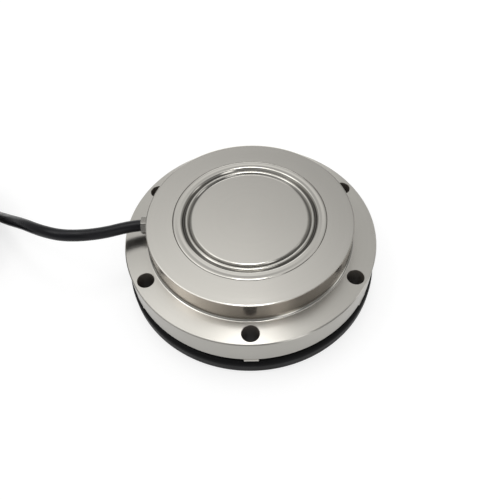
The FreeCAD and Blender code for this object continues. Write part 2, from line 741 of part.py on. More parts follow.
def all_pieces():
    """Every node's shape by name."""
    cores = core_tubes()
    coil = cable_coil()
    washer_d = GLAND_THREAD_D - 2 * WASHER_GAP
    potting = rod(GLAND_THREAD_D, outward(BORE_END_R, GLAND_Z), outward(CABLE_END_R, GLAND_Z))
    pieces = {
        "spring_body": spring_body(),
        "top_diaphragm": top_diaphragm(),
        "base_ring": base_ring(),
        "spacer_bushes": spacer_bushes(),
        "bottom_cover": bottom_cover(),
        "cover_seal": cover_seal(),
        "cover_screws": cover_screws(),
        "bridge_board": bridge_board(),
        "board_screws": board_screws(),
        "trim_resistors": trim_resistors(),
        "gland_nut": gland_nut(),
        "gland_washer": gland_sleeve(washer_d, CABLE_BORE_D, WASHER_END_R, THREAD_END_R),
        "gland_grommet": gland_sleeve(GLAND_THREAD_D, CABLE_D, CABLE_END_R, WASHER_END_R),
        "potting_plug": potting.cut(cores),
        "cable_coil": coil,
        "coil_ties": coil_ties(),
        "signal_cable": signal_cable(coil),
        "cable_tail": cable_tail(coil),
    }
    pieces.update(zip(("red_core", "black_core", "green_core", "white_core"), cores))
    pieces.update(gauge_pieces())
    pieces.update(end_pieces())
    return pieces


def main():
    os.makedirs("parts", exist_ok=True)
    for name, shape in all_pieces().items():
        if not shape.isValid():
            raise ValueError(name + " is not a valid shape")
        shape.exportStep("parts/" + name + ".step")


main()
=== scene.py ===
import math

import bmesh
import bpy
from bpy.props import FloatProperty, FloatVectorProperty, IntProperty, PointerProperty
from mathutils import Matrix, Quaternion, Vector


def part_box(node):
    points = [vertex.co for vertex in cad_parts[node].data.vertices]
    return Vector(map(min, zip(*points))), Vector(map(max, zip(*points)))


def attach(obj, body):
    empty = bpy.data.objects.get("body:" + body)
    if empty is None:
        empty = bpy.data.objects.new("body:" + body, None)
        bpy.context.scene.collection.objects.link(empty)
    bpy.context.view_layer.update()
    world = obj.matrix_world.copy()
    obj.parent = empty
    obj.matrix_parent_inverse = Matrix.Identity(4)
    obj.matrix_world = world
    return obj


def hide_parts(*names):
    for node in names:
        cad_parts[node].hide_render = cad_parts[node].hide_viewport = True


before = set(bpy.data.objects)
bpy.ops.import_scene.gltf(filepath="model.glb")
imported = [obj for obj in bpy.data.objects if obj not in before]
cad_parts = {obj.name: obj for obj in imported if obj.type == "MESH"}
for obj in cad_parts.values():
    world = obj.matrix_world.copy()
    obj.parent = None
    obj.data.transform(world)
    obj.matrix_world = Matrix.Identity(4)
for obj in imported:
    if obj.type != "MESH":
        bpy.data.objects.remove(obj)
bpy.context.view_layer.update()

bl_info = {
    "name": "Plate load cell",
    "version": (1, 0, 0),
    "blender": (4, 5, 0),
    "location": "3D View > Sidebar > Load Cell",
    "description": "Models and finishes a plate load cell on its packed frame",
    "category": "Object",
}

MM = 0.001
FULL_TURN = 2 * math.pi
SAME_PLACE = 0.01 * MM
MERGE_DISTANCE = SAME_PLACE / 10
AXIS_Z = Vector((0, 0, 1))
LEVEL = (1, 1, 0)
WHITE = (1, 1, 1, 1)

# Steps of a full turn, for the visible rings and for the tools that cut seats, bolt holes and bores
RING_STEPS = 360
SEAT_STEPS = 96
HOLE_STEPS = 72
BORE_STEPS = 64
# How far a tool passes the face it cuts through
OVER = 1.0 * MM
# Wall of a spacer bush's sleeve
SLEEVE_WALL = 0.7 * MM
# Most of a noise lies between these two values
NOISE_LOW, NOISE_HIGH = 0.3, 0.7

BODY_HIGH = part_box("spring_body")[1]
RING_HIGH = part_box("base_ring")[1]
BUSH_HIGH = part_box("spacer_bushes")[1]
NUT_LOW, NUT_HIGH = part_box("gland_nut")
COIL_LOW, COIL_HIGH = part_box("cable_coil")
COIL_CENTRE = (COIL_LOW + COIL_HIGH) / 2


def a_length(label, text, value):
    """A length of the part that a user may change."""
    return FloatProperty(name=label, description=text, default=value, min=0.0, unit="LENGTH", precision=5)


def a_colour(label, text, value):
    """A colour of the part that a user may change."""
    return FloatVectorProperty(
        name=label, description=text, default=value, size=3, min=0.0, max=1.0, subtype="COLOR"
    )


def a_place(label, text, value):
    """A place, given in mm, that a user may change."""
    place = [part * MM for part in value]
    return FloatVectorProperty(name=label, description=text, default=place, subtype="XYZ_LENGTH", unit="LENGTH")


class BodySizes(bpy.types.PropertyGroup):
    """Sizes of the turned body, its diaphragm and its holes."""

    flange_radius: a_length("Flange radius", "Outer radius of the flange", BODY_HIGH.x)
    flange_bottom: a_length("Flange bottom", "Height of the flange's lower face", BUSH_HIGH.z)
    flange_top: a_length("Flange top", "Height of the flange's upper face", 27.0 * MM)
    flange_edge: a_length("Flange edge", "Chamfer of the flange's edges", 0.5 * MM)
    hub_radius: a_length("Hub radius", "Radius of the hub's wall", 52.2 * MM)
    hub_top: a_length("Hub top", "Height of the hub's upper face", 39.5 * MM)
    hub_edge: a_length("Hub edge", "Rounding of the hub's upper edge", 0.25 * MM)
    hub_roll: a_length("Hub roll", "Width of the shallow slope inside the hub's edge", 0.65 * MM)
    hub_fillet: a_length("Hub fillet", "Rounding at the hub's foot", 1.3 * MM)
    seam_radius: a_length("Seam radius", "Radius of the diaphragm's welded seam", 38.6 * MM)
    pad_radius: a_length("Pad radius", "Radius of the load pad", 29.9 * MM)
    pad_top: a_length("Pad top", "Height of the load pad", 38.9 * MM)
    pad_round: a_length("Pad edge", "Size of the load pad's rolled edge", 0.9 * MM)
    foot_radius: a_length("Foot radius", "Outer radius of the foot", 50.5 * MM)
    bolt_circle: a_length("Bolt circle", "Radius of the circle of bolt holes", 59.0 * MM)
    bolt_hole: a_length("Bolt hole", "Radius of a bolt hole", 4.2 * MM)
    bolt_edge: a_length("Hole edge", "Chamfer at the top of a bolt hole", 0.12 * MM)
    bolt_count: IntProperty(name="Bolt holes", description="Number of bolt holes", default=6, min=1)


class CableSizes(bpy.types.PropertyGroup):
    """Sizes of the cable and its gland."""

    diameter: a_length("Cable diameter", "Outer diameter of the jacket", 6.0 * MM)
    length: a_length("Cable length", "Length from the gland to the far end", 3.0)
    exit_height: a_length("Exit height", "Height of the gland's axis", (NUT_LOW.z + NUT_HIGH.z) / 2)
    coil_columns: IntProperty(name="Coil columns", description="Turns side by side", default=3, min=1)
    coil_layers: IntProperty(name="Coil layers", description="Turns on each other", default=4, min=1)


class Finishes(bpy.types.PropertyGroup):
    """Colours of the visible finishes."""

    steel: a_colour("Turned steel", "Body and diaphragm of the cell", (0.500, 0.485, 0.448))
    # Painted reflection: darker, browner tone of the turned steel for the hub's wall
    wall: a_colour("Hub wall", "Steel of the hub's wall", (0.445, 0.403, 0.355))
    # Also used as painted shade in the seam's groove of the body
    drilled: a_colour("Drilled steel", "Inside of the bolt holes and bushes", (0.120, 0.106, 0.092))
    rubber: a_colour("Base rubber", "Ring under the flange", (0.006, 0.006, 0.0065))
    jacket: a_colour("Cable jacket", "Outside of the cable", (0.007, 0.007, 0.009))


class StageSettings(bpy.types.PropertyGroup):
    """Place and lens of the camera."""

    camera_place: a_place("Camera place", "Where the camera stands", (4.55, -161.81, 229.60))
    camera_target: a_place("Camera target", "Point in the middle of the picture", (0.196, -21.37, 39.5))
    camera_roll: FloatProperty(
        name="Camera roll",
        description="Turn of the camera about its view",
        default=math.radians(2.394),
        subtype="ANGLE",
    )
    lens: FloatProperty(name="Lens", description="Focal length", default=35.747, unit="CAMERA")


class LoadCell(bpy.types.PropertyGroup):
    """All settings of the load cell."""

    body: PointerProperty(type=BodySizes)
    cable: PointerProperty(type=CableSizes)
    finish: PointerProperty(type=Finishes)
    stage: PointerProperty(type=StageSettings)


def name_active(name):
    """Name the active object and its mesh."""
    piece = bpy.context.object
    piece.name = name
    piece.data.name = name
    return piece


def start_piece(name):
    """New mesh object in edit mode that holds one vertex at the origin."""
    bpy.ops.object.select_all(action="DESELECT")
    bpy.ops.mesh.primitive_plane_add(size=MM)
    piece = name_active(name)
    bpy.ops.object.mode_set(mode="EDIT")
    bpy.ops.mesh.select_mode(type="VERT")
    bpy.ops.mesh.select_all(action="SELECT")
    bpy.ops.mesh.merge(type="CENTER")
    return piece


def pick(piece, wanted):
    """Select the vertices of a piece in edit mode whose place is wanted."""
    bpy.ops.mesh.select_mode(type="VERT")
    bpy.ops.mesh.select_all(action="DESELECT")
    mesh = bmesh.from_edit_mesh(piece.data)
    for vertex in mesh.verts:
        vertex.select = wanted(vertex.co)
    mesh.select_flush(True)
    bmesh.update_edit_mesh(piece.data)


def corner_setback(before, corner, after, rounding):
    """Distance from a corner to where its rounding begins."""
    half = (before - corner).angle(after - corner) / 2
    return rounding / math.tan(half)


def draw_outline(name, corners, closed, segments):
    """Outline in the XZ plane, in edit mode, from (radius, height) or (radius, height, rounding) corners."""
    piece = start_piece(name)
    places = [Vector((corner[0], 0, corner[1])) for corner in corners]
    bpy.ops.transform.translate(value=places[0])
    for before, after in zip(places, places[1:] + places[:1] * closed):
        bpy.ops.mesh.extrude_region_move(TRANSFORM_OT_translate={"value": after - before})
    bpy.ops.mesh.select_all(action="SELECT")
    bpy.ops.mesh.remove_doubles(threshold=MERGE_DISTANCE)
    for index, corner in enumerate(corners):
        if len(corner) > 2 and corner[2]:
            place = places[index]
            after = places[(index + 1) % len(places)]
            setback = corner_setback(places[index - 1], place, after, corner[2])
            pick(piece, lambda where: (where - place).length < SAME_PLACE)
            bpy.ops.mesh.bevel(
                offset_type="ABSOLUTE", offset=setback, segments=segments, affect="VERTICES"
            )
    return piece


def turned(name, corners, closed, steps, segments=6):
    """Piece of revolution about Z."""
    piece = draw_outline(name, corners, closed, segments)
    bpy.ops.mesh.select_all(action="SELECT")
    bpy.ops.mesh.spin(steps=steps, angle=FULL_TURN, center=(0, 0, 0), axis=AXIS_Z)
    bpy.ops.mesh.select_all(action="SELECT")
    bpy.ops.mesh.remove_doubles(threshold=MERGE_DISTANCE)
    bpy.ops.mesh.normals_make_consistent(inside=False)
    bpy.ops.object.mode_set(mode="OBJECT")
    return piece


def only(piece):
    """Make a piece the one selected and active object."""
    bpy.ops.object.select_all(action="DESELECT")
    piece.select_set(True)
    bpy.context.view_layer.objects.active = piece


def copy_of(piece, name):
    """Copy of a piece with its own mesh."""
    only(piece)
    bpy.ops.object.duplicate(linked=False)
    return name_active(name)


def settle(piece):
    """Put a piece's place, turn and scale into its mesh."""
    only(piece)
    bpy.ops.object.transform_apply(location=True, rotation=True, scale=True)


def around(piece, count, radius, first_angle):
    """Move a piece out to a circle about Z and join it with evenly spaced copies of it."""
    copies = [piece] + [copy_of(piece, piece.name + str(index)) for index in range(1, count)]
    for index, copy in enumerate(copies):
        angle = first_angle + index * FULL_TURN / count
        copy.location = (radius * math.cos(angle), radius * math.sin(angle), 0)
        copy.rotation_euler = (0, 0, angle)
        settle(copy)
    bpy.ops.object.select_all(action="DESELECT")
    for copy in copies:
        copy.select_set(True)
    bpy.context.view_layer.objects.active = piece
    bpy.ops.object.join()
    return piece


def on_bolt_circle(piece, sizes):
    """Move a piece from the Z axis to the first bolt hole and join it with its copies at the others."""
    half_step = FULL_TURN / sizes.bolt_count / 2
    return around(piece, sizes.bolt_count, sizes.bolt_circle, half_step)


def drill(name, radius, low, high, material):
    """Plain round tool that stands on the Z axis."""
    tool = turned(name, [(0, low), (radius, low), (radius, high), (0, high)], False, BORE_STEPS)
    use_material(tool, material)
    return tool


def cut(piece, tool, operation="DIFFERENCE"):
    """Boolean with a tool piece, which is then removed."""
    only(piece)
    modifier = piece.modifiers.new("cut", "BOOLEAN")
    modifier.operation = operation
    modifier.solver = "EXACT"
    modifier.material_mode = "TRANSFER"
    modifier.object = tool
    bpy.ops.object.modifier_apply(modifier=modifier.name)
    bpy.data.objects.remove(tool)


def hexagon(name, corner_r, low, high, edge):
    """Upright hexagonal prism with a flat towards +X and rounded long edges."""
    bpy.ops.object.select_all(action="DESELECT")
    bpy.ops.mesh.primitive_cylinder_add(
        vertices=6, radius=corner_r, depth=high - low, location=(0, 0, (low + high) / 2)
    )
    piece = name_active(name)
    settle(piece)
    bpy.ops.object.mode_set(mode="EDIT")
    bpy.ops.mesh.select_mode(type="EDGE")
    bpy.ops.mesh.select_all(action="DESELECT")
    mesh = bmesh.from_edit_mesh(piece.data)
    for line in mesh.edges:
        line.select = abs(line.verts[0].co.z - line.verts[1].co.z) > SAME_PLACE
    bmesh.update_edit_mesh(piece.data)
    bpy.ops.mesh.bevel(offset=edge, segments=3, affect="EDGES")
    bpy.ops.object.mode_set(mode="OBJECT")
    return piece


def point_out(piece, height):
    """Turn a piece from +Z to -X and lift it to a height."""
    piece.rotation_euler = (0, -math.pi / 2, 0)
    piece.location = (0, 0, height)
    settle(piece)


def finish_piece(piece, node, smooth_deg=32):
    """Shade a piece, let it ride on the frame and stand for its node."""
    only(piece)
    bpy.ops.object.shade_smooth_by_angle(angle=math.radians(smooth_deg))
    flats = piece.modifiers.new("flats", "WEIGHTED_NORMAL")
    flats.keep_sharp = True
    bpy.ops.object.modifier_apply(modifier=flats.name)
    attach(piece, "root")
    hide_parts(node)


def group_sockets(name, inputs, outputs):
    """New shader node group with float inputs and outputs."""
    group = bpy.data.node_groups.new(name, "ShaderNodeTree")
    for label, value in inputs:
        socket = group.interface.new_socket(label, in_out="INPUT", socket_type="NodeSocketFloat")
        socket.default_value = value
    for label in outputs:
        group.interface.new_socket(label, in_out="OUTPUT", socket_type="NodeSocketFloat")
    return group, group.nodes.new("NodeGroupInput"), group.nodes.new("NodeGroupOutput")


def feed(tree, node, values):
    """Set a node's first inputs to links or plain values."""
    for socket, value in zip(node.inputs, values):
        if isinstance(value, bpy.types.NodeSocket):
            tree.links.new(value, socket)
        else:
            socket.default_value = value


def set_inputs(node, values):
    """Set a node's inputs by their names."""
    for label, value in values.items():
        node.inputs[label].default_value = value


def math_node(tree, operation, *values):
    """Result of a math node fed by links or numbers."""
    node = tree.nodes.new("ShaderNodeMath")
    node.operation = operation
    feed(tree, node, values)
    return node.outputs[0]


def vector_node(tree, operation, *values):
    """Result of a vector math node fed by links or vectors."""
    node = tree.nodes.new("ShaderNodeVectorMath")
    node.operation = operation
    feed(tree, node, values)
    return node.outputs["Value" if operation == "LENGTH" else "Vector"]


def map_range(tree, value, start, end, low=0.0, high=1.0, kind="LINEAR"):
    """Value that runs from low to high as another goes from start to end."""
    node = tree.nodes.new("ShaderNodeMapRange")
    node.interpolation_type = kind
    feed(tree, node, (value, start, end, low, high))
    return node.outputs["Result"]


def object_place(tree):
    """Object coordinates of the shaded point."""
    return tree.nodes.new("ShaderNodeTexCoord").outputs["Object"]


def apart(tree, vector):
    """X, Y and Z of a vector, as the outputs of a node."""
    node = tree.nodes.new("ShaderNodeSeparateXYZ")
    tree.links.new(vector, node.inputs[0])
    return node.outputs


def from_axis(tree, place):
    """Distance of a place from the Z axis."""
    return vector_node(tree, "LENGTH", vector_node(tree, "MULTIPLY", place, LEVEL))


def turning_marks_group():
    """Fine lathe lines: rings on flat faces, hoops on walls."""
    group, given, result = group_sockets(
        "turning_marks", [("Pitch", 0.3 * MM), ("Detail", 4.0)], ["Height", "Band"]
    )
    line_scale, band_scale = 1.0, 0.12
    place = object_place(group)
    along = math_node(group, "ADD", from_axis(group, place), apart(group, place)["Z"])
    scaled = math_node(group, "DIVIDE", along, given.outputs["Pitch"])
    for output, scale in (("Height", line_scale), ("Band", band_scale)):
        noise = group.nodes.new("ShaderNodeTexNoise")
        noise.noise_dimensions = "1D"
        noise.inputs["Scale"].default_value = scale
        group.links.new(scaled, noise.inputs["W"])
        group.links.new(given.outputs["Detail"], noise.inputs["Detail"])
        group.links.new(noise.outputs["Fac"], result.inputs[output])
    return group


def speckle_group():
    """Fine moulded grain and broad soft blotches."""
    group, given, result = group_sockets(
        "grain", [("Grain size", 0.4 * MM), ("Blotch size", 15.0 * MM)], ["Grain", "Blotch"]
    )
    place = object_place(group)
    for output, size in (("Grain", "Grain size"), ("Blotch", "Blotch size")):
        noise = group.nodes.new("ShaderNodeTexNoise")
        noise.inputs["Detail"].default_value = 3.0
        scale = math_node(group, "DIVIDE", 1.0, given.outputs[size])
        group.links.new(scale, noise.inputs["Scale"])
        group.links.new(place, noise.inputs["Vector"])
        group.links.new(noise.outputs["Fac"], result.inputs[output])
    return group


def place_group(tree, name, maker, **values):
    """Node of the group of that name, which is made when it is first needed, with its inputs set."""
    node = tree.nodes.new("ShaderNodeGroup")
    node.node_tree = bpy.data.node_groups.get(name) or maker()
    set_inputs(node, {label.replace("_", " "): value for label, value in values.items()})
    return node


def blank_material(name):
    """Material with a principled shader, its tree and that shader."""
    material = bpy.data.materials.new(name)
    material.use_nodes = True
    shader = material.node_tree.nodes["Principled BSDF"]
    return material, material.node_tree, shader


def between(tree, noise, ends):
    """Value that runs over a range with a noise."""
    return map_range(tree, noise, NOISE_LOW, NOISE_HIGH, *ends)


def shaded(tree, noise, tone, darkest):
    """Colour that runs from a share of a tone to the tone itself, with a noise."""
    ramp = tree.nodes.new("ShaderNodeValToRGB")
    ramp.color_ramp.elements[0].position = NOISE_LOW
    ramp.color_ramp.elements[0].color = [channel * darkest for channel in tone] + [1]
    ramp.color_ramp.elements[1].position = NOISE_HIGH
    ramp.color_ramp.elements[1].color = list(tone) + [1]
    tree.links.new(noise, ramp.inputs[0])
    return ramp.outputs["Color"]


def bumped(tree, height, distance, strength):
    """Normal from a height."""
    bump = tree.nodes.new("ShaderNodeBump")
    set_inputs(bump, {"Distance": distance, "Strength": strength})
    tree.links.new(height, bump.inputs["Height"])
    return bump.outputs["Normal"]


def round_tangent(tree):
    """Direction of the lathe's grooves, round the Z axis."""
    return vector_node(tree, "NORMALIZE", vector_node(tree, "CROSS_PRODUCT", AXIS_Z, object_place(tree)))


def steel_material(name, tone, rough, anisotropic, depth=0.0006 * MM):
    """Turned steel: fine rings, soft bands in tone and gloss, and highlights drawn out across the rings."""
    darkest_band = 0.985
    wear_share = 0.6
    bump_strength = 0.4
    quarter_turn = 0.25
    material, tree, shader = blank_material(name)
    marks = place_group(tree, "turning_marks", turning_marks_group, Pitch=0.25 * MM)
    grain = place_group(tree, "grain", speckle_group, Blotch_size=24 * MM)
    bands = marks.outputs["Band"]
    tree.links.new(shaded(tree, bands, tone, darkest_band), shader.inputs["Base Color"])
    wear = math_node(tree, "MULTIPLY", grain.outputs["Blotch"], wear_share)
    mixed = math_node(tree, "ADD", wear, math_node(tree, "MULTIPLY", bands, 1 - wear_share))
    tree.links.new(between(tree, mixed, rough), shader.inputs["Roughness"])
    tree.links.new(bumped(tree, marks.outputs["Height"], depth, bump_strength), shader.inputs["Normal"])
    tree.links.new(round_tangent(tree), shader.inputs["Tangent"])
    set_inputs(shader, {
        "Metallic": 1.0, "Anisotropic": anisotropic, "Anisotropic Rotation": quarter_turn
    })
    return material


def dull_material(name, tone, rough, grain_size, depth, darkest=0.8, specular=0.5):
    """Rubber, plastic or another plain finish with a moulded grain."""
    bump_strength = 0.5
    material, tree, shader = blank_material(name)
    shader.inputs["Specular IOR Level"].default_value = specular
    grain = place_group(tree, "grain", speckle_group, Grain_size=grain_size)
    blotch = grain.outputs["Blotch"]
    tree.links.new(shaded(tree, blotch, tone, darkest), shader.inputs["Base Color"])
    tree.links.new(between(tree, blotch, rough), shader.inputs["Roughness"])
    tree.links.new(bumped(tree, grain.outputs["Grain"], depth, bump_strength), shader.inputs["Normal"])
    return material


def plain_metal(name, tone, rough):
    """Bright small metal piece with a faint grain."""
    material = dull_material(name, tone, rough, grain_size=0.2 * MM, depth=0.002 * MM, darkest=0.94)
    material.node_tree.nodes["Principled BSDF"].inputs["Metallic"].default_value = 1.0
    return material


def drilled_material(name, tone):
    """Dull wall of a drilled hole."""
    return dull_material(name, tone, rough=(0.45, 0.6), grain_size=0.5 * MM, depth=0.05 * MM)


def use_material(piece, *materials):
    """Give a piece its materials."""
    piece.data.materials.clear()
    for material in materials:
        piece.data.materials.append(material)


# Numbers of the body's finishes; the drilled one also serves as painted shade in the seam's groove, the wall one
# holds painted reflection and the rim one painted shade
TURNED, DRILLED_AND_SEAM_SHADE, FLANGE, WALL, RIM = range(5)
# Corners of the pad's rolled edge: shares of its size inwards and down, and the rounding in mm
PAD_EDGE = [(0, 0.65, 0.4), (0.45, 0.10, 0.5), (1.05, 0, 1.5)]


class LOADCELL_OT_body(bpy.types.Operator):
    """Turn the steel body, drill its bolt holes and face its gland's seat"""

    bl_idname = "load_cell.body"
    bl_label = "Steel body"

    def execute(self, context):
        sizes = context.scene.load_cell.body
        tones = context.scene.load_cell.finish
        steel = steel_material("turned_steel", tones.steel, rough=(0.13, 0.17), anisotropic=0.3)
        drilled = drilled_material("drilled_steel", tones.drilled)
        flange_steel = steel_material(
            "flange_steel", tones.steel, rough=(0.27, 0.31), anisotropic=0.75, depth=0.0001 * MM
        )
        # Painted reflection: the hub's wall gets a darker, browner copy of the turned steel
        shaded_wall_steel = steel_material(
            "shaded_wall_steel", tones.wall, rough=(0.21, 0.26), anisotropic=0.5, depth=0.0002 * MM
        )
        # Painted shade: the flange's outer wall gets a darker copy of the turned steel
        rim_shade_share = 0.75
        rim_shaded_tone = [tone * rim_shade_share for tone in tones.steel]
        shaded_rim_steel = steel_material(
            "shaded_rim_steel", rim_shaded_tone, rough=(0.28, 0.36), anisotropic=0.5, depth=0.0003 * MM
        )
        body = turned("steel_body", self.outline(sizes), True, RING_STEPS)
        use_material(body, steel, drilled, flange_steel, shaded_wall_steel, shaded_rim_steel)
        for face in body.data.polygons:
            face.material_index = self.finish_at(sizes, face.center.xy.length, face.center.z)
        cut(body, self.bolt_drills(sizes, flange_steel, drilled))
        cut(body, self.gland_seat(context, steel))
        cut(body, self.duct(context, steel))
        cover_tap = drill("cover_tap", radius=1.25 * MM, low=3.0 * MM, high=10.0 * MM, material=steel)
        cut(body, around(cover_tap, count=6, radius=44.7 * MM, first_angle=0))
        board_tap = drill("board_tap", radius=1.0 * MM, low=9.0 * MM, high=14.0 * MM, material=steel)
        cut(body, around(board_tap, count=4, radius=36.9 * MM, first_angle=FULL_TURN / 8))
        finish_piece(body, "spring_body")
        return {"FINISHED"}

    def finish_at(self, sizes, radius, height):
        """Number of the finish at a place."""
        near = 0.1 * MM
        seam_width, seam_depth = 0.2 * MM, 0.5 * MM
        # The flange's outer wall and chamfers take the darker rim steel: painted shade
        if radius > sizes.flange_radius - near:
            return RIM
        if radius > sizes.hub_radius and height > sizes.flange_top + SAME_PLACE:
            return TURNED
        # The hub's wall takes the darker, browner wall steel: painted reflection
        if radius > sizes.hub_radius - near and height < sizes.hub_top - near:
            return WALL if height > sizes.flange_top + near else FLANGE
        # The body's face in the seam's groove takes the dark drilled finish: painted shade in the groove
        at_seam = sizes.seam_radius - near < radius < sizes.seam_radius + seam_width
        in_groove = sizes.hub_top - seam_depth < height < sizes.hub_top - SAME_PLACE
        return DRILLED_AND_SEAM_SHADE if at_seam and in_groove else TURNED

    def outline(self, sizes):
        """Section of the body, from the middle of its underside outwards and back over the top."""
        foot_edge = 0.4 * MM
        cover_z = 4.0 * MM
        post_z = 4.3 * MM
        board_z = 10.0 * MM
        web_low = 20.0 * MM
        web_high = 28.0 * MM
        fillet = 1.5 * MM
        post_r = 10.0 * MM
        cavity_r = 35.0 * MM
        ledge_r = 39.0 * MM
        groove_in, groove_out, groove_z = 40.0 * MM, 41.8 * MM, 5.1 * MM
        rim_r = 47.65 * MM
        trench_r = 36.7 * MM
        seat_z = 39.1 * MM
        seam = 0.2 * MM
        crisp = 0.12 * MM
        shallow = 0.13
        roll_round = 1.5 * MM
        pad_round = sizes.pad_round
        pad_edge = [
            (sizes.pad_radius - inwards * pad_round, sizes.pad_top - down * pad_round, rounding * MM)
            for inwards, down, rounding in PAD_EDGE
        ]
        flange_r = sizes.flange_radius
        flange_edge = sizes.flange_edge
        return [
            (0, post_z),
            (post_r, post_z),
            (post_r, web_low, fillet),
            (cavity_r, web_low, fillet),
            (cavity_r, board_z),
            (ledge_r, board_z),
            (ledge_r, cover_z),
            (groove_in, cover_z),
            (groove_in, groove_z),
            (groove_out, groove_z),
            (groove_out, cover_z),
            (rim_r, cover_z),
            (rim_r, 0),
            (sizes.foot_radius - foot_edge, 0),
            (sizes.foot_radius, foot_edge),
            (sizes.foot_radius, sizes.flange_bottom),
            (flange_r - flange_edge, sizes.flange_bottom, crisp),
            (flange_r, sizes.flange_bottom + flange_edge, crisp),
            (flange_r, sizes.flange_top - flange_edge, crisp),
            (flange_r - flange_edge, sizes.flange_top, crisp),
            (sizes.hub_radius, sizes.flange_top, sizes.hub_fillet),
            (sizes.hub_radius, sizes.hub_top - sizes.hub_roll * shallow, sizes.hub_edge),
            (sizes.hub_radius - sizes.hub_roll, sizes.hub_top, roll_round),
            (sizes.seam_radius + seam, sizes.hub_top, seam / 4),
            (sizes.seam_radius, sizes.hub_top - seam),
            (sizes.seam_radius, seat_z),
            (trench_r, seat_z),
            (trench_r, web_high, fillet),
            (sizes.pad_radius, web_high, fillet),
            *pad_edge,
            (0, sizes.pad_top),
        ]

    def bolt_drills(self, sizes, steel, drilled):
        """Tools for the bolt holes, each with a small chamfer at its mouth."""
        hole = sizes.bolt_hole
        mouth = hole + sizes.bolt_edge
        top = sizes.flange_top
        tool = turned("bolt_drill", [
            (0, sizes.flange_bottom - OVER),
            (hole, sizes.flange_bottom - OVER),
            (hole, top - sizes.bolt_edge),
            (mouth, top),
            (mouth, top + OVER),
            (0, top + OVER),
        ], False, HOLE_STEPS)
        use_material(tool, drilled, steel)
        for face in tool.data.polygons:
            face.material_index = int(face.center.z > top - sizes.bolt_edge)
        return on_bolt_circle(tool, sizes)

    def gland_seat(self, context, steel):
        """Tool for the flat seat of the gland in the hub's wall, with the bore and the duct's top behind it."""
        sizes = context.scene.load_cell.body
        cable = context.scene.load_cell.cable
        duct_r, duct_end = 2.3 * MM, 38.8 * MM
        bore_r, bore_end = 3.8 * MM, 42.5 * MM
        seat_r, seat_depth = 5.257 * MM, 0.3 * MM
        tool = turned("gland_seat_tool", [
            (0, duct_end),
            (duct_r, duct_end),
            (duct_r, bore_end),
            (bore_r, bore_end),
            (bore_r, sizes.hub_radius - seat_depth),
            (seat_r, sizes.hub_radius - seat_depth),
            (seat_r, sizes.flange_radius),
            (0, sizes.flange_radius),
        ], False, SEAT_STEPS)
        use_material(tool, steel)
        point_out(tool, cable.exit_height)
        return tool

    def duct(self, context, steel):
        """Tool for the leaning duct from the gland's bore down to the board."""
        start = Vector((-41.1 * MM, 0, context.scene.load_cell.cable.exit_height))
        foot = Vector((-36.5 * MM, 0, 10.0 * MM))
        duct_r = 2.2 * MM
        past_foot = 1.5 * MM
        tool = drill("duct_tool", duct_r, 0, (foot - start).length + past_foot, steel)
        tool.rotation_mode = "QUATERNION"
        tool.rotation_quaternion = (foot - start).to_track_quat("Z", "Y")
        tool.location = start
        settle(tool)
        return tool


# Pressed line from the pad's edge to the seam: step outwards, drop below the hub's top and bend radius,
# all in mm, and 1 where the bend is hollow or -1 where it is a crest
PRESSED_LINE = [
    (0.0, 1.5, 0, 0),
    (0.7, 1.5, 0.5, 1),
    (0.7, 0.65, 0.9, -1),
    (1.0, 0.65, 0.9, -1),
    (0.6, 1.5, 0.5, 1),
    (0.6, 1.5, 0.45, 1),
    (0.8, 0.0, 1.05, -1),
    (1.9, 0.06, 0.628, 1),
    (1.3, -0.1, 0.628, -1),
    (1.1, -0.1, 0, 0),
]
# Painted shade rings in the folds: distance outside the pad's edge and half width, in mm
FOLD_SHADE_RINGS = [(0.4, 0.2), (3.2, 0.35)]


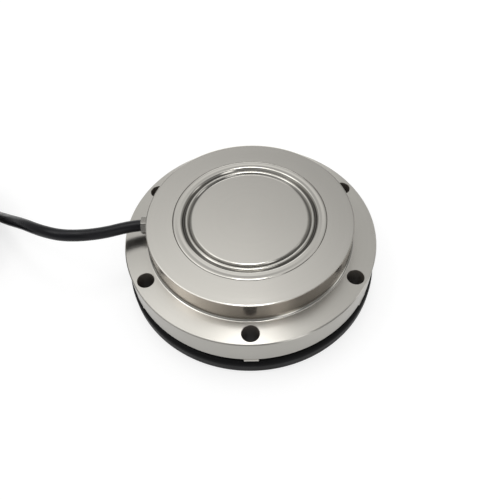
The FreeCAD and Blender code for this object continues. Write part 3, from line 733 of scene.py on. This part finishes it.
class LOADCELL_OT_diaphragm(bpy.types.Operator):
    """Press the corrugated diaphragm between the pad and the seam"""

    bl_idname = "load_cell.diaphragm"
    bl_label = "Diaphragm"

    def execute(self, context):
        sizes = context.scene.load_cell.body
        tones = context.scene.load_cell.finish
        steel = steel_material("diaphragm_steel", tones.steel, rough=(0.07, 0.11), anisotropic=0.2)
        # Painted shade: darker rings in the steel's colour where the folds lie
        self.paint_fold_shade(steel, tones.steel, sizes.pad_radius)
        sheet = turned("wave_diaphragm", self.outline(sizes), True, RING_STEPS, segments=8)
        use_material(sheet, steel)
        finish_piece(sheet, "top_diaphragm")
        return {"FINISHED"}

    def paint_fold_shade(self, material, tone, pad_radius):
        """Painted shade in the folds, in place of the bands in tone: dark in each ring and clear beside it."""
        fade = 0.4 * MM
        darkest = 0.22
        tree = material.node_tree
        base = tree.nodes["Principled BSDF"].inputs["Base Color"]
        tree.nodes.remove(base.links[0].from_node)
        radius = from_axis(tree, object_place(tree))
        gaps = []
        for outwards, half in FOLD_SHADE_RINGS:
            away = math_node(tree, "SUBTRACT", radius, pad_radius + outwards * MM)
            gaps.append(math_node(tree, "SUBTRACT", math_node(tree, "ABSOLUTE", away), half * MM))
        clear = map_range(tree, math_node(tree, "MINIMUM", *gaps), 0, fade, NOISE_LOW, NOISE_HIGH)
        tree.links.new(shaded(tree, clear, tone, darkest), base)

    def outline(self, sizes):
        """Section of the pressed sheet: valley, crest, valley, land and rim, with the same line below."""
        thick = 0.5 * MM
        rise = 0.1 * MM
        edge = 0.3 * MM
        line = []
        radius = sizes.pad_radius
        for step, drop, _, _ in PRESSED_LINE:
            radius += step * MM
            line.append(Vector((radius, sizes.hub_top - drop * MM)))
        last = len(line) - 2
        upper, lower = [], []
        for index, (_, _, bend, hollow) in enumerate(PRESSED_LINE):
            upper.append((*line[index], bend * MM))
            into = (line[max(index, 1)] - line[max(index, 1) - 1]).normalized()
            out = (line[min(index, last) + 1] - line[min(index, last)]).normalized()
            mitre = (into + out).normalized()
            below = Vector((mitre.y, -mitre.x)) * thick / mitre.dot(into)
            lower.append((*(line[index] + below), (bend * MM + thick * hollow) * abs(hollow)))
        rim = sizes.hub_top + rise
        seam = [
            (sizes.seam_radius - 2.0 * edge, rim, 3 * edge),
            (sizes.seam_radius - 0.7 * edge, rim - edge / 5, edge / 2),
            (sizes.seam_radius, rim - edge),
        ]
        return upper[:-1] + seam + lower[::-1]


class LOADCELL_OT_base_ring(bpy.types.Operator):
    """Mould the rubber ring under the flange"""

    bl_idname = "load_cell.base_ring"
    bl_label = "Base ring"

    def execute(self, context):
        sizes = context.scene.load_cell.body
        tones = context.scene.load_cell.finish
        rubber = dull_material(
            "base_rubber", tones.rubber, rough=(0.45, 0.58), grain_size=0.3 * MM, depth=0.02 * MM, specular=0.1
        )
        foot_gap = 0.5 * MM
        inset = 0.01 * MM
        inner = sizes.foot_radius + foot_gap
        outer = RING_HIGH.x - inset
        top = RING_HIGH.z
        edge = 2.5 * MM
        lip = 0.6 * MM
        ring = turned("rubber_ring", [
            (inner, 0, lip),
            (outer, 0, edge),
            (outer, top, edge),
            (inner, top, lip),
        ], True, RING_STEPS, segments=8)
        use_material(ring, rubber)
        tool = drill("bush_hole_tool", sizes.bolt_hole + SLEEVE_WALL, -OVER, top + OVER, rubber)
        cut(ring, on_bolt_circle(tool, sizes))
        finish_piece(ring, "base_ring")
        return {"FINISHED"}


class LOADCELL_OT_bushes(bpy.types.Operator):
    """Mill the hex-headed spacer bushes in the base ring"""

    bl_idname = "load_cell.bushes"
    bl_label = "Spacer bushes"

    def execute(self, context):
        sizes = context.scene.load_cell.body
        tones = context.scene.load_cell.finish
        steel = plain_metal("bush_steel", tones.steel, rough=(0.25, 0.4))
        drilled = drilled_material("bush_bore", tones.drilled)
        bore = sizes.bolt_hole
        head_low = 10.2 * MM
        across_flats = 12.0 * MM
        edge = 0.2 * MM
        bush = hexagon("spacer_bush_set", across_flats / math.sqrt(3), head_low, BUSH_HIGH.z, edge)
        use_material(bush, steel)
        cut(bush, drill("bush_sleeve", bore + SLEEVE_WALL, 0, head_low + OVER, steel), "UNION")
        cut(bush, drill("bush_bore_tool", bore, -OVER, BUSH_HIGH.z + OVER, drilled))
        on_bolt_circle(bush, sizes)
        finish_piece(bush, "spacer_bushes", smooth_deg=25)
        return {"FINISHED"}


class LOADCELL_OT_gland(bpy.types.Operator):
    """Mill the gland's hexagon with its turned edge"""

    bl_idname = "load_cell.gland"
    bl_label = "Gland nut"

    def execute(self, context):
        cable = context.scene.load_cell.cable
        steel = plain_metal("gland_steel", (0.27, 0.26, 0.24), rough=(0.12, 0.2))
        seat = 51.9 * MM
        face = -NUT_LOW.x
        corner_r = NUT_HIGH.y
        corner_round = 0.6 * MM
        edge = 0.4 * MM
        thread_r = 3.8 * MM
        thread_end = -NUT_HIGH.x
        cable_gap = 0.1 * MM
        nut = hexagon("gland_hexagon", corner_r, seat, face, corner_round)
        use_material(nut, steel)
        cone_h = corner_r + face - seat - edge
        cone = turned("gland_edge_tool", [
            (0, seat - edge), (cone_h + edge, seat - edge), (0, seat + cone_h)
        ], False, SEAT_STEPS)
        use_material(cone, steel)
        cut(nut, cone, "INTERSECT")
        cut(nut, drill("gland_thread", thread_r, thread_end, seat + edge, steel), "UNION")
        bore_r = cable.diameter / 2 + cable_gap
        cut(nut, drill("gland_bore_tool", bore_r, thread_end - OVER, face + OVER, steel))
        point_out(nut, cable.exit_height)
        finish_piece(nut, "gland_nut", smooth_deg=25)
        return {"FINISHED"}


class LOADCELL_OT_cable(bpy.types.Operator):
    """Lay the cable from the gland to the coil and its tail"""

    bl_idname = "load_cell.cable"
    bl_label = "Cable"

    def execute(self, context):
        cable = context.scene.load_cell.cable
        tones = context.scene.load_cell.finish
        jacket = dull_material(
            "cable_jacket", tones.jacket, rough=(0.26, 0.36), grain_size=0.25 * MM, depth=0.01 * MM, specular=0.2
        )
        points = self.route(cable) + self.coil_turns(cable) + self.tail()
        curve = bpy.data.curves.new("signal_cable_line", "CURVE")
        curve.dimensions = "3D"
        curve.bevel_depth = cable.diameter / 2
        curve.bevel_resolution = 7
        curve.resolution_u = 6
        curve.use_fill_caps = True
        spline = curve.splines.new("NURBS")
        spline.points.add(len(points) - 1)
        for target, place in zip(spline.points, points):
            target.co = (*place, 1)
        spline.order_u = 3
        spline.use_endpoint_u = True
        line = bpy.data.objects.new("cable_line", curve)
        context.scene.collection.objects.link(line)
        curve.materials.append(jacket)
        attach(line, "root")
        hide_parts("signal_cable", "cable_coil", "cable_tail")
        return {"FINISHED"}

    def route(self, cable):
        """Control points from inside the gland down to the floor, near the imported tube."""
        height = cable.exit_height
        return [Vector(place) * MM for place in [
            (-44.5, 0.0, height / MM),
            (-47.5, 0.0, height / MM),
            (-59.7, 0.0, height / MM),
            (-75.1, -7.2, 35.9),
            (-90.4, -11.2, 39.6),
            (-102.9, -7.8, 39.6),
            (-116.1, 0.4, 35.9),
            (-128.3, 9.5, 27.9),
            (-139.5, 19.5, 18.5),
            (-150.0, 29.5, 8.6),
            (-160.5, 38.5, 3.3),
        ]]

    def coil_turns(self, cable):
        """Turns of the coil, column by column in each layer, each ending in a step to the next."""
        per_turn = 16
        entry = math.radians(60)
        # The curve runs inside its control points, so they stand a little outside the turn's radius
        spread = 1 / (0.75 + 0.25 * math.cos(FULL_TURN / per_turn))
        step_share = 0.25
        inner = 30.0 * MM
        floor_z = 4.2 * MM
        pitch = cable.diameter
        stations = []
        for layer in range(cable.coil_layers):
            columns = list(range(cable.coil_columns))
            if layer % 2 == 0:
                columns.reverse()
            stations += [(inner + column * pitch, floor_z + layer * pitch) for column in columns]
        last_radius, last_height = stations[-1]
        stations.append((last_radius + pitch, last_height))
        points = []
        for here, there in zip(stations, stations[1:]):
            for index in range(per_turn):
                share = max(0.0, (index / per_turn - 1 + step_share) / step_share)
                radius = here[0] + (there[0] - here[0]) * share
                height = here[1] + (there[1] - here[1]) * share
                angle = entry + FULL_TURN * index / per_turn
                offset = Vector((math.cos(angle), math.sin(angle), 0)) * radius * spread
                points.append(Vector((COIL_CENTRE.x, COIL_CENTRE.y, height)) + offset)
        return points

    def tail(self):
        """Control points from the top of the coil down its side to the floor, about the coil's centre."""
        centre = Vector((COIL_CENTRE.x, COIL_CENTRE.y, 0))
        return [centre + Vector(place) * MM for place in [
            (22.0, 43.5, 22.0),
            (0.0, 49.0, 21.9),
            (-22.0, 43.5, 21.6),
            (-42.0, 34.0, 15.0),
            (-53.0, 15.0, 7.0),
            (-55.5, -6.0, 3.8),
            (-50.0, -26.0, 3.8),
        ]]


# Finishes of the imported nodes: name, tone, roughness range and nodes. The plain ones also have the size
# and depth of their grain, in mm
METAL_FINISHES = [
    ("screw_steel", (0.50, 0.48, 0.46), (0.25, 0.35), ["cover_screws", "board_screws", "gland_washer"]),
    ("gauge_foil", (0.55, 0.40, 0.22), (0.3, 0.45), ["inner_gauges", "outer_gauges"]),
    ("tinned_copper", (0.62, 0.60, 0.57), (0.25, 0.4), ["gauge_leads", "tail_tips", "drain_wire"]),
]
PLAIN_FINISHES = [
    ("seal_rubber", (0.015, 0.015, 0.015), (0.45, 0.6), 0.2, 0.01, ["cover_seal", "gland_grommet"]),
    ("potting", (0.03, 0.028, 0.026), (0.25, 0.4), 1.0, 0.02, ["potting_plug"]),
    ("board_laminate", (0.02, 0.10, 0.035), (0.35, 0.5), 0.3, 0.01, ["bridge_board"]),
    ("resistor_body", (0.02, 0.02, 0.022), (0.35, 0.5), 0.2, 0.01, ["trim_resistors"]),
    ("core_red", (0.42, 0.012, 0.010), (0.35, 0.5), 0.2, 0.005, ["red_core", "tail_red"]),
    ("core_black", (0.015, 0.015, 0.016), (0.35, 0.5), 0.2, 0.005, ["black_core", "tail_black"]),
    ("core_green", (0.010, 0.16, 0.035), (0.35, 0.5), 0.2, 0.005, ["green_core", "tail_green"]),
    ("core_white", (0.72, 0.71, 0.68), (0.35, 0.5), 0.2, 0.005, ["white_core", "tail_white"]),
    ("shrink_sleeve", (0.016, 0.016, 0.017), (0.4, 0.55), 0.4, 0.02, ["end_sleeve"]),
    ("tie_strap", (0.02, 0.02, 0.021), (0.35, 0.5), 0.3, 0.02, ["coil_ties"]),
]


class LOADCELL_OT_inside(bpy.types.Operator):
    """Finish the pieces that stay as they were packed"""

    bl_idname = "load_cell.inside"
    bl_label = "Other finishes"

    def execute(self, context):
        tones = context.scene.load_cell.finish
        cover_steel = steel_material("cover_steel", tones.steel, rough=(0.2, 0.3), anisotropic=0.5)
        self.give(cover_steel, ["bottom_cover"])
        for name, tone, rough, nodes in METAL_FINISHES:
            self.give(plain_metal(name, tone, rough), nodes)
        for name, tone, rough, grain_size, depth, nodes in PLAIN_FINISHES:
            self.give(dull_material(name, tone, rough, grain_size * MM, depth * MM), nodes)
        return {"FINISHED"}

    def give(self, material, names):
        """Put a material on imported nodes."""
        for name in names:
            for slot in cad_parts[name].material_slots:
                slot.material = material


# Walls of the light tent: degrees above the floor and brightness there
BACK_WALL = [(0, 2.0), (27, 1.9), (35, 0.66), (43, 0.70), (50, 0.88), (59, 1.12), (66, 1.2)]
RIGHT_WALL = [(0, 0.40), (30, 0.48), (38, 0.62), (43, 0.68), (50, 0.82), (59, 1.05), (66, 1.1)]
LEFT_WALL = [(0, 0.42), (28, 0.36), (42, 0.26), (50, 0.85), (56, 1.45), (70, 1.6)]
FRONT_WALL = [(0, 0.42), (28, 0.36), (40, 0.20), (50, 0.18), (60, 0.19), (72, 0.6), (82, 1.5), (90, 1.8)]
# Upright strips of light in front: direction in degrees from +X, and gain
FRONT_STRIPS = [(-58, 5.0), (-2, 3.0)]


class LOADCELL_OT_stage(bpy.types.Operator):
    """Lay the floor, set the light and place the camera"""

    bl_idname = "load_cell.stage"
    bl_label = "Stage"

    def execute(self, context):
        context.scene.view_settings.view_transform = "Standard"
        self.floor()
        self.surroundings(context.scene)
        self.lamp("overhead", place=Vector((-0.025, 0.28, 1.3)), width=0.24, depth=0.42, energy=1.7)
        self.lamp("left_window", place=Vector((-0.60, -0.02, 1.0)), width=0.30, depth=0.30, energy=0.75)
        self.tent()
        self.camera(context.scene)
        return {"FINISHED"}

    def floor(self):
        """Pale floor that keeps the shadow and lifts to white for the camera."""
        bpy.ops.object.select_all(action="DESELECT")
        bpy.ops.mesh.primitive_circle_add(vertices=96, radius=6.0, fill_type="NGON", location=(0, 0, 0))
        floor = bpy.context.object
        floor.name = "floor"
        material, tree, shader = blank_material("pale_floor")
        set_inputs(shader, {
            "Base Color": (0.38, 0.38, 0.38, 1),
            "Roughness": 0.9,
            "Specular IOR Level": 0.0,
            "Emission Color": WHITE,
        })
        lift = 0.70
        glow = math_node(tree, "MULTIPLY", self.seen(tree), lift)
        tree.links.new(glow, shader.inputs["Emission Strength"])
        use_material(floor, material)

    def seen(self, tree):
        """One for what the camera sees, straight, in metal or through glass."""
        path = tree.nodes.new("ShaderNodeLightPath")
        seen = math_node(tree, "MAXIMUM", path.outputs["Is Camera Ray"], path.outputs["Is Glossy Ray"])
        return math_node(tree, "MAXIMUM", seen, path.outputs["Is Transmission Ray"])

    def surroundings(self, scene):
        """White world for the camera and for reflections, softer for the light it gives."""
        world = bpy.data.worlds.new("white_room")
        scene.world = world
        world.use_nodes = True
        tree = world.node_tree
        soft = tree.nodes["Background"]
        set_inputs(soft, {"Color": WHITE, "Strength": 0.8})
        white = tree.nodes.new("ShaderNodeBackground")
        set_inputs(white, {"Color": WHITE, "Strength": 1.0})
        mix = tree.nodes.new("ShaderNodeMixShader")
        tree.links.new(self.seen(tree), mix.inputs["Fac"])
        tree.links.new(soft.outputs[0], mix.inputs[1])
        tree.links.new(white.outputs[0], mix.inputs[2])
        tree.links.new(mix.outputs[0], tree.nodes["World Output"].inputs["Surface"])

    def lamp(self, name, place, width, depth, energy):
        """Soft box that faces the object and that the camera doesn't see."""
        data = bpy.data.lights.new(name, "AREA")
        data.shape = "RECTANGLE"
        data.size = width
        data.size_y = depth
        data.energy = energy
        lamp = bpy.data.objects.new(name, data)
        bpy.context.scene.collection.objects.link(lamp)
        lamp.location = place
        lamp.rotation_mode = "QUATERNION"
        lamp.rotation_quaternion = (-place).to_track_quat("-Z", "Y")
        lamp.visible_camera = False

    def tent(self):
        """Tent that only reflections see: four walls that run into one another, brightest behind and above."""
        floor_gap = 0.02
        bpy.ops.object.select_all(action="DESELECT")
        bpy.ops.mesh.primitive_uv_sphere_add(segments=64, ring_count=32, radius=2.4)
        tent = bpy.context.object
        tent.name = "light_tent"
        bpy.ops.object.mode_set(mode="EDIT")
        bpy.ops.mesh.select_all(action="SELECT")
        bpy.ops.mesh.bisect(plane_co=(0, 0, floor_gap), plane_no=AXIS_Z, clear_inner=True)
        bpy.ops.object.mode_set(mode="OBJECT")
        material, tree, shader = blank_material("light_tent")
        set_inputs(shader, {
            "Base Color": (0, 0, 0, 1), "Specular IOR Level": 0.0, "Emission Color": WHITE
        })
        height, sideways, back = self.directions(tree)
        front, right, left, rear = [
            self.wall(tree, height, stops) for stops in (FRONT_WALL, RIGHT_WALL, LEFT_WALL, BACK_WALL)
        ]
        around_z = math_node(tree, "ARCTAN2", back, sideways)
        strips = math_node(tree, "ADD", *[self.strip(tree, around_z, *strip) for strip in FRONT_STRIPS])
        front = math_node(tree, "MULTIPLY", front, math_node(tree, "ADD", strips, 1.0))
        tone = self.blend(tree, self.share(tree, back, none=0.20, full=0.75), front, right)
        beside = self.share(tree, sideways, none=-0.30, full=-0.98)
        far_left = self.share(tree, sideways, none=-0.42, full=-0.60)
        behind = math_node(tree, "MULTIPLY", far_left, self.share(tree, back, none=0.2, full=0.5))
        tone = self.blend(tree, math_node(tree, "MAXIMUM", beside, behind), tone, left)
        tone = self.blend(tree, self.share(tree, back, none=0.92, full=0.985), tone, rear)
        # The walls' ramps hold half their brightness, and the left half of the tent is brighter
        gain = map_range(tree, sideways, start=-0.4, end=0.4, low=2.4, high=1.6)
        strength = math_node(tree, "MULTIPLY", tone, gain)
        tree.links.new(strength, shader.inputs["Emission Strength"])
        use_material(tent, material)
        tent.visible_camera = False
        tent.visible_diffuse = False
        tent.visible_shadow = False

    def directions(self, tree):
        """Height, sideways and backward parts of the direction to a point of the tent."""
        place = object_place(tree)
        level = vector_node(tree, "MULTIPLY", place, LEVEL)
        slant = apart(tree, vector_node(tree, "NORMALIZE", place))
        round_about = apart(tree, vector_node(tree, "NORMALIZE", level))
        return slant["Z"], round_about["X"], round_about["Y"]

    def wall(self, tree, height, stops):
        """Half the brightness of a wall of the tent, from (degrees above the floor, brightness) stops."""
        ramp = tree.nodes.new("ShaderNodeValToRGB")
        elements = ramp.color_ramp.elements
        while len(elements) < len(stops):
            elements.new(0.5)
        for element, (degrees, tone) in zip(elements, stops):
            element.position = math.sin(math.radians(degrees))
            element.color = (tone / 2, tone / 2, tone / 2, 1)
        tree.links.new(height, ramp.inputs[0])
        return ramp.outputs["Color"]

    def share(self, tree, value, none, full):
        """Soft share from 0 to 1 between two values."""
        return map_range(tree, value, none, full, kind="SMOOTHSTEP")

    def strip(self, tree, around_z, degrees, gain):
        """Upright strip of light in one direction."""
        outside, inside = math.radians(14), math.radians(3)
        away = math_node(tree, "ABSOLUTE", math_node(tree, "SUBTRACT", around_z, math.radians(degrees)))
        return math_node(tree, "MULTIPLY", self.share(tree, away, outside, inside), gain)

    def blend(self, tree, share, first, second):
        """First at share 0 and second at share 1."""
        node = tree.nodes.new("ShaderNodeMix")
        tree.links.new(share, node.inputs[0])
        tree.links.new(first, node.inputs[2])
        tree.links.new(second, node.inputs[3])
        return node.outputs[0]

    def camera(self, scene):
        """Camera at the picture's viewing angle."""
        stage = scene.load_cell.stage
        data = bpy.data.cameras.new("view")
        data.lens = stage.lens
        data.sensor_width = 36.0
        camera = bpy.data.objects.new("view", data)
        scene.collection.objects.link(camera)
        place = Vector(stage.camera_place)
        ahead = (Vector(stage.camera_target) - place).normalized()
        camera.location = place
        camera.rotation_mode = "QUATERNION"
        turn = Quaternion(ahead, stage.camera_roll)
        camera.rotation_quaternion = turn @ ahead.to_track_quat("-Z", "Y")
        data.clip_start = 0.01
        scene.camera = camera


STEPS = [
    LOADCELL_OT_body,
    LOADCELL_OT_diaphragm,
    LOADCELL_OT_base_ring,
    LOADCELL_OT_bushes,
    LOADCELL_OT_gland,
    LOADCELL_OT_cable,
    LOADCELL_OT_inside,
    LOADCELL_OT_stage,
]


class LOADCELL_PT_panel(bpy.types.Panel):
    """Settings and steps of the load cell"""

    bl_idname = "LOADCELL_PT_panel"
    bl_label = "Load Cell"
    bl_space_type = "VIEW_3D"
    bl_region_type = "UI"
    bl_category = "Load Cell"

    def draw(self, context):
        settings = context.scene.load_cell
        for group in (settings.body, settings.cable, settings.finish, settings.stage):
            box = self.layout.box()
            for name in group.bl_rna.properties.keys():
                if name not in ("rna_type", "name"):
                    box.prop(group, name)
        for step in STEPS:
            self.layout.operator(step.bl_idname)


CLASSES = [BodySizes, CableSizes, Finishes, StageSettings, LoadCell, *STEPS, LOADCELL_PT_panel]


def register():
    for cls in CLASSES:
        bpy.utils.register_class(cls)
    bpy.types.Scene.load_cell = PointerProperty(type=LoadCell)


def unregister():
    del bpy.types.Scene.load_cell
    for cls in reversed(CLASSES):
        bpy.utils.unregister_class(cls)


def main():
    register()
    bpy.ops.load_cell.body()
    bpy.ops.load_cell.diaphragm()
    bpy.ops.load_cell.base_ring()
    bpy.ops.load_cell.bushes()
    bpy.ops.load_cell.gland()
    bpy.ops.load_cell.cable()
    bpy.ops.load_cell.inside()
    bpy.ops.load_cell.stage()


if __name__ == "__main__":
    main()
